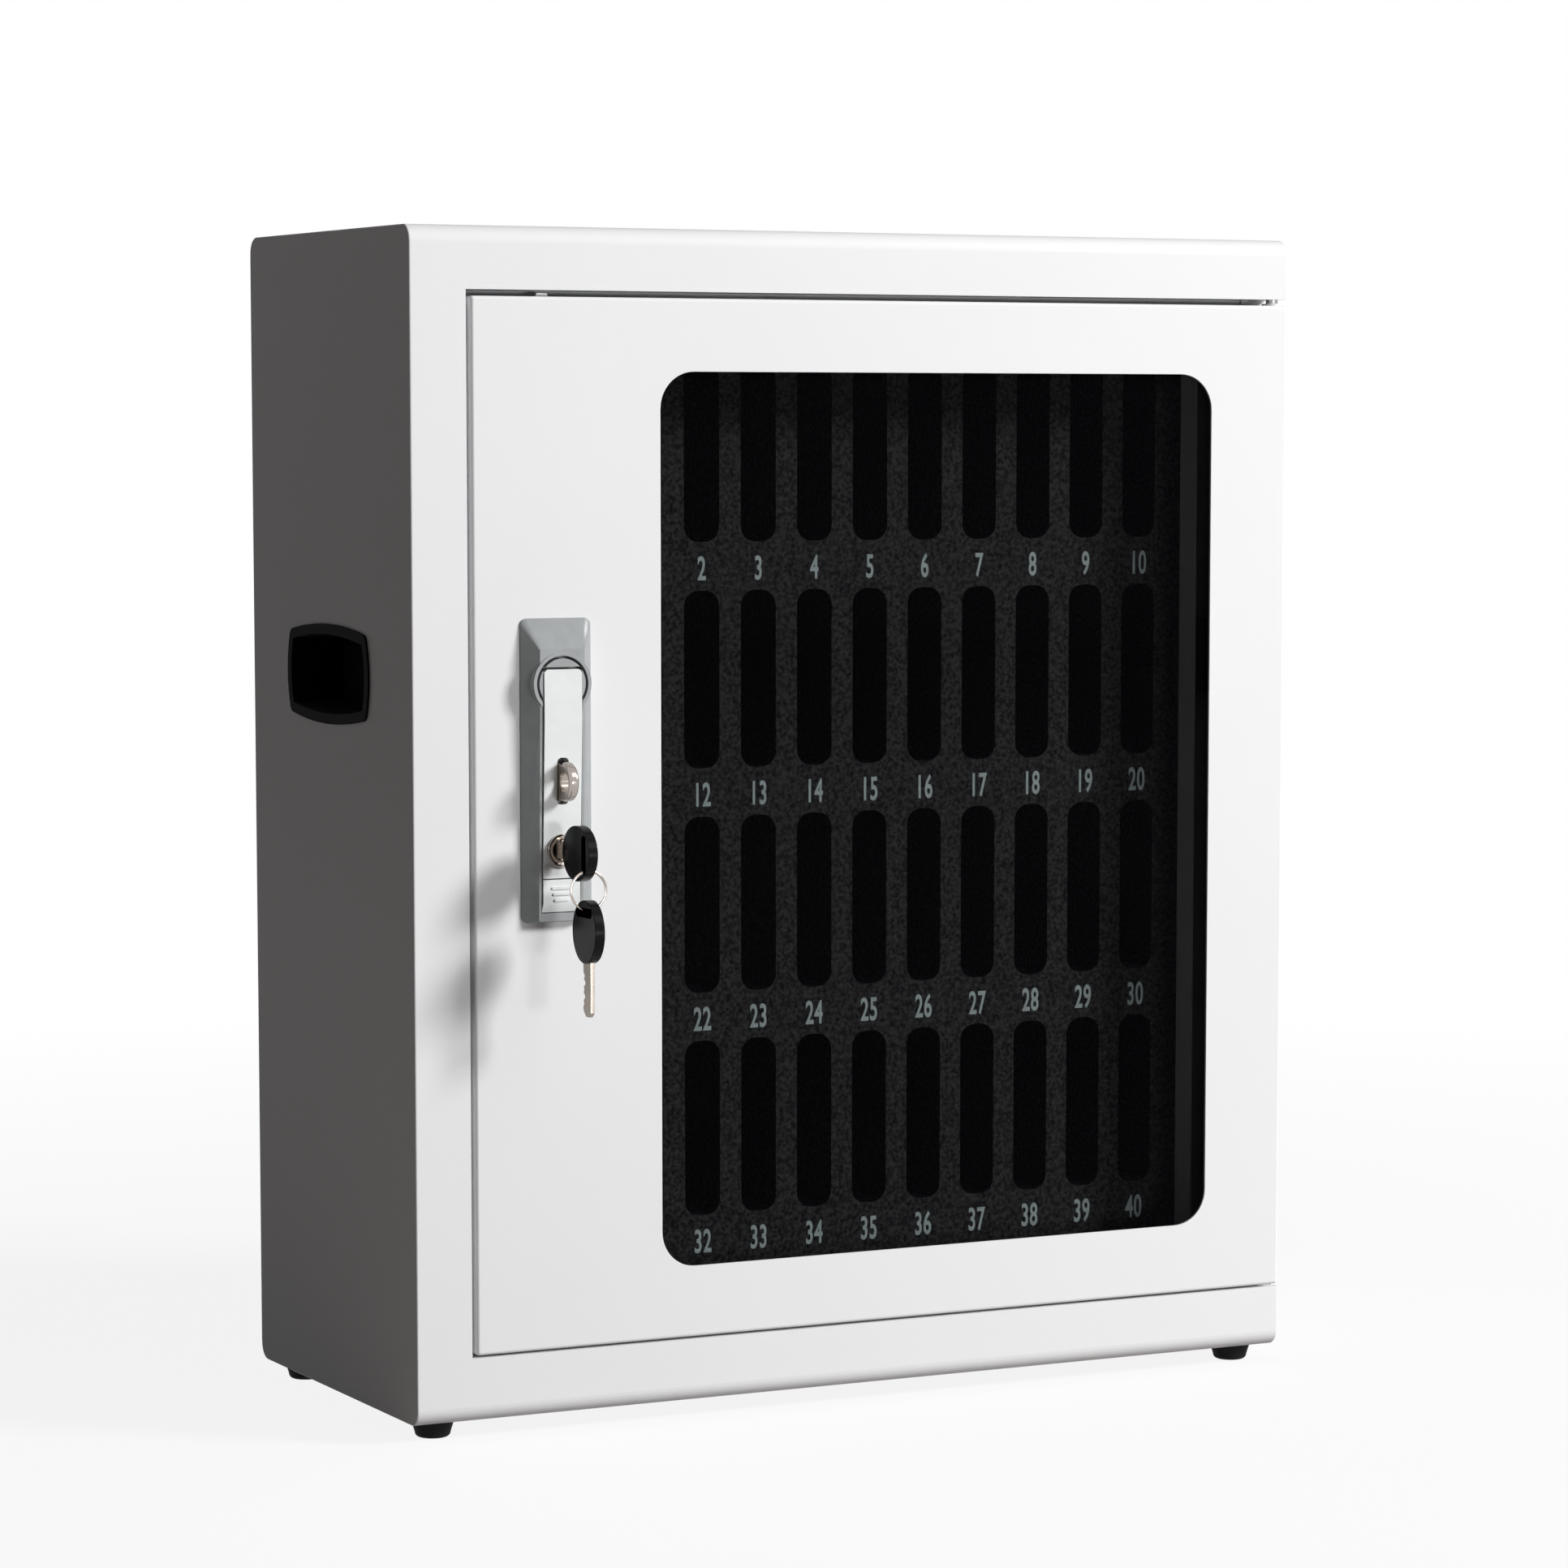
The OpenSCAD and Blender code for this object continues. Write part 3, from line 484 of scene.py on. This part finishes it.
# %% Soften the lock
edge_rounds = {"lock_housing": 0.00035, "lock_turret": 0.0003, "handle": 0.00045,
               "push_button": 0.0003, "lock_barrel": 0.0002, "key_blade": 0.0001,
               "spare_blade": 0.0002}
for name, width in edge_rounds.items():
    piece = softened(name, width)
    print(piece.name, len(piece.data.polygons), "faces")

# %% [markdown]
# ## Side panels
#
# The sheet's outer edges are rounded by the folding and by the coat. Only the outline of each
# side panel is rounded, because its inner edge meets the wrapped sheet without a seam. So the
# edges are picked in code by their place, and the Bevel operator works on these alone.

# %% Round chosen edges only
def round_edges(piece, chosen, width, segments):
    """Rounds the edges for which chosen is true of their two end points."""
    select_only(piece)
    mesh = piece.data
    for part in (mesh.vertices, mesh.edges, mesh.polygons):
        part.foreach_set("select", [False] * len(part))
    count = 0
    for edge in mesh.edges:
        a, b = (mesh.vertices[i].co for i in edge.vertices)
        if chosen(a, b):
            edge.select = True
            count += 1
    bpy.ops.object.mode_set(mode="EDIT")
    bpy.ops.mesh.select_mode(type="EDGE")
    bpy.ops.mesh.bevel(offset=width, segments=segments, affect="EDGES")
    bpy.ops.object.mode_set(mode="OBJECT")
    return count


print("edge helper ready")

# %% Round the outlines of the side panels
on_face, rim_width, panel_round = 0.00002, 0.01, 0.0008


def on_outline(side, box_low, box_high):
    """Picks edges on a side panel's outer face that run along its outline."""
    def chosen(a, b):
        if abs(a.x - side) > on_face or abs(b.x - side) > on_face:
            return False
        middle = (a + b) / 2
        inside = (box_low.y + rim_width < middle.y < box_high.y - rim_width
                  and box_low.z + rim_width < middle.z < box_high.z - rim_width)
        return not inside
    return chosen


for name in ("side_left", "side_right"):
    low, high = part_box(name)
    outer_x = low.x if name == "side_left" else high.x
    piece = merged_copy(name, name + "_softened")
    count = round_edges(piece, on_outline(outer_x, low, high), panel_round, segments=3)
    stand_for(piece, name)
    print(name, "edges rounded:", count)

# %% [markdown]
# ## The eye for the padlock
#
# The eye is a polished ring of steel that sticks out through a slot in the handle. It is much
# rounder on its outside than in its hole, so only the two outer rims are picked, by their distance
# from the ring's middle, and rounded in six steps.

# %% Round the eye
eye_low, eye_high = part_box("padlock_staple")
eye_r = (eye_high.z - eye_low.z) / 2
eye_y, eye_z = eye_low.y + eye_r, (eye_low.z + eye_high.z) / 2
same_face, on_circle, eye_round = 0.00001, 0.00003, 0.0015


def on_eye_rim(a, b):
    """Picks the edges round the outside of the eye, on both of its faces."""
    along_a_face = abs(a.x - b.x) < same_face
    return along_a_face and all(
        abs(math.hypot(p.y - eye_y, p.z - eye_z) - eye_r) < on_circle for p in (a, b))


eye = merged_copy("padlock_staple", "padlock_eye_polished")
print("eye edges rounded:", round_edges(eye, on_eye_rim, eye_round, segments=6))
stand_for(eye, "padlock_staple")

# %% [markdown]
# ## The door's window opening
#
# The opening is punched and then coated, which leaves a fine round along its front edge. The pane
# is a little larger than the opening, so its box tells which front edges of the door belong to
# the opening and which to the door's outline.

# %% Round the window opening
door_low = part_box("door_pan")[0]
pane_low, pane_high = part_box("window_pane")
past_pane, window_round = 0.001, 0.0003


def on_window(a, b):
    """Picks the front edge of the window opening."""
    front = abs(a.y - door_low.y) < on_face and abs(b.y - door_low.y) < on_face
    middle = (a + b) / 2
    return (front and pane_low.x - past_pane < middle.x < pane_high.x + past_pane
            and pane_low.z - past_pane < middle.z < pane_high.z + past_pane)


door_skin = merged_copy("door_pan", "door_skin")
print("window edges rounded:", round_edges(door_skin, on_window, window_round, segments=2))
stand_for(door_skin, "door_pan")

# %% [markdown]
# ## The bows of the keys
#
# A key's plastic bow is a flat oval with well rounded edges. One bow is modelled lying flat, from a
# cylinder squeezed to an oval, and a rounded bar cuts the slot for the ring. The other key gets a
# copy. Both are stood up in the box of their CAD bow: the key in the lock points inwards, the
# spare down.

# %% Measure the bow
key_low, key_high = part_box("key_bow")
spare_low, spare_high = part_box("spare_bow")
key_middle, spare_middle = (key_low + key_high) / 2, (spare_low + spare_high) / 2
bow_length, bow_width = key_high.y - key_low.y, key_high.z - key_low.z
bow_thick = key_high.x - key_low.x
bow_round, rim_angle = 0.0011, math.radians(60)
slot_from_tip, slot_half, slot_r = 0.0056, 0.0065, 0.0021
print("bow:", [round(v * 1000, 1) for v in (bow_length, bow_width, bow_thick)], "mm")

# %% Cut the slot for the ring
def move_half(piece, side, step):
    """In edit mode, moves the half of a piece whose points lie on one side along Y."""
    select_only(piece)
    mesh = piece.data
    for part in (mesh.vertices, mesh.edges, mesh.polygons):
        part.foreach_set("select", [False] * len(part))
    for vertex in mesh.vertices:
        vertex.select = math.copysign(1, vertex.co.y) == side
    bpy.ops.object.mode_set(mode="EDIT")
    bpy.ops.mesh.select_mode(type="VERT")
    bpy.ops.transform.translate(value=(0, side * step, 0))
    bpy.ops.object.mode_set(mode="OBJECT")


def cut_slot(bow):
    """Cuts the slot with a cylinder that is drawn out to a bar with round ends."""
    bpy.ops.object.select_all(action="DESELECT")
    bpy.ops.mesh.primitive_cylinder_add(vertices=48, radius=slot_r, depth=2 * bow_thick,
                                        location=(slot_from_tip, 0, 0))
    bar = bpy.context.object
    move_half(bar, 1, slot_half)
    move_half(bar, -1, slot_half)
    cut = bow.modifiers.new("slot", "BOOLEAN")
    cut.operation, cut.object, cut.solver = "DIFFERENCE", bar, "EXACT"
    select_only(bow)
    bpy.ops.object.modifier_apply(modifier=cut.name)
    bpy.data.objects.remove(bar)


print("slot:", round(2 * (slot_half + slot_r) * 1000, 1), "x", round(2 * slot_r * 1000, 1), "mm")

# %% Model one bow, lying flat
bpy.ops.object.select_all(action="DESELECT")
bpy.ops.mesh.primitive_cylinder_add(vertices=96, radius=1, depth=bow_thick)
key_oval = bpy.context.object
key_oval.name = "key_bow_oval"
key_oval.scale = (bow_length / 2, bow_width / 2, 1)
key_oval.location = (bow_length / 2, 0, 0)
bpy.ops.object.transform_apply(location=True, rotation=True, scale=True)
cut_slot(key_oval)
rounding = key_oval.modifiers.new("rounded_rim", "BEVEL")
rounding.width, rounding.segments = bow_round, 5
rounding.limit_method, rounding.angle_limit = "ANGLE", rim_angle
bpy.ops.object.modifier_apply(modifier=rounding.name)
print("bow faces:", len(key_oval.data.polygons))

# %% Copy it and stand both up
spare_oval = bpy.data.objects.new("spare_bow_oval", key_oval.data.copy())
bpy.context.scene.collection.objects.link(spare_oval)


def stand_up(bow, rotation, tip, name):
    """Turns a flat bow, puts its tip in place and shows it for the CAD bow."""
    select_only(bow)
    bow.rotation_euler = rotation
    bow.location = tip
    bpy.ops.object.transform_apply(location=True, rotation=True, scale=True)
    bow.data.materials.append(finishes["black_plastic"])
    stand_for(bow, name)


quarter = math.pi / 2
stand_up(key_oval, (quarter, 0, quarter), (key_middle.x, key_low.y, key_middle.z), "key_bow")
stand_up(spare_oval, (0, quarter, 0), (spare_middle.x, spare_middle.y, spare_high.z), "spare_bow")
print("bows:", key_oval.name, "and", spare_oval.name)

# %% [markdown]
# ## The numbers on the rack
#
# Each slot has its number printed below it in narrow grey-green figures. Text is typed as a text
# object, made a mesh, squeezed to the narrow shape, stood up against the rack's face, and joined
# into one piece.

# %% Measure the rack
rack_low, rack_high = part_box("rack_face")
column_pitch, row_pitch, number_rows, number_columns = 0.0306, 0.1095, 4, 10
slot_height, below_slot, lowest_row_height = 0.086, 0.0134, 0.1265
first_column = (rack_low.x + rack_high.x - (number_columns - 1) * column_pitch) / 2
lowest_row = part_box("shell_wrap")[0].z + lowest_row_height
figure_height, figure_share, figure_squeeze = 0.0112, 0.70, 0.58
letter_gap, stroke_swell, ink_depth = 1.08, 0.0003, 0.00004
print("numbers:", number_rows, "rows of", number_columns)

# %% Print one number
def print_number(number):
    """One number as a mesh, on the rack's face under its slot."""
    row, column = divmod(number - 1, number_columns)
    bpy.ops.object.select_all(action="DESELECT")
    bpy.ops.object.text_add(location=(0, 0, 0))
    text = bpy.context.object.data
    text.body = str(number)
    text.align_x, text.align_y = "CENTER", "CENTER"
    text.size = figure_height / figure_share
    text.space_character = letter_gap
    text.extrude = ink_depth
    text.offset = stroke_swell
    bpy.ops.object.convert(target="MESH")
    figure = bpy.context.object
    figure.rotation_euler = (math.pi / 2, 0, 0)
    figure.scale = (figure_squeeze, 1, 1)
    figure.location = (first_column + column * column_pitch, rack_low.y - ink_depth,
                       lowest_row + (number_rows - 1 - row) * row_pitch
                       - slot_height / 2 - below_slot)
    bpy.ops.object.transform_apply(location=True, rotation=True, scale=True)
    return figure


print("number helper ready")

# %% Print them all
figures = [print_number(number) for number in range(1, number_rows * number_columns + 1)]
select_only(*figures)
bpy.ops.object.join()
numbers = bpy.context.object
numbers.name = "slot_numbers"
numbers.data.materials.clear()
numbers.data.materials.append(ink)
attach(numbers, "cabinet")
print("numbers:", len(figures), "faces:", len(numbers.data.polygons))

# %% [markdown]
# ## The split ring
#
# The keys hang on a split ring: a flattened steel wire wound two turns, its ends lying side by
# side. The cross-section of one turn is drawn as a small circle squashed to half its width, and
# the Screw modifier winds it about the ring's axis.

# %% Draw the wire's cross-section
ring_low, ring_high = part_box("key_ring")
ring_middle = (ring_low + ring_high) / 2
ring_outer = (ring_high.z - ring_low.z) / 2
wire = ring_high.y - ring_low.y
wire_squash, wound_angle, winding_steps = 0.46, math.radians(700), 150
bpy.ops.object.select_all(action="DESELECT")
bpy.ops.mesh.primitive_circle_add(vertices=12, radius=wire / 2, fill_type="NGON",
                                  location=(ring_outer - wire / 2, 0, 0),
                                  rotation=(math.pi / 2, 0, 0))
split_ring = bpy.context.object
split_ring.name = "split_ring"
split_ring.scale = (1, wire_squash, 1)
bpy.ops.object.transform_apply(location=True, rotation=True, scale=True)
print("wire:", round(wire * 1000, 2), "mm")

# %% Wind the split ring
winding = split_ring.modifiers.new("winding", "SCREW")
winding.axis, winding.angle, winding.screw_offset = "Z", wound_angle, wire / 2
winding.steps = winding.render_steps = winding_steps
bpy.ops.object.modifier_apply(modifier=winding.name)
bpy.ops.object.mode_set(mode="EDIT")
bpy.ops.mesh.select_all(action="SELECT")
bpy.ops.mesh.normals_make_consistent(inside=False)
bpy.ops.object.mode_set(mode="OBJECT")
split_ring.rotation_euler = (math.pi / 2, 0, 0)
split_ring.location = ring_middle + Vector((0, wire / 4, 0))
bpy.ops.object.transform_apply(location=True, rotation=True, scale=True)
split_ring.data.materials.append(finishes["chrome"])
stand_for(split_ring, "key_ring")
print("split ring faces:", len(split_ring.data.polygons))
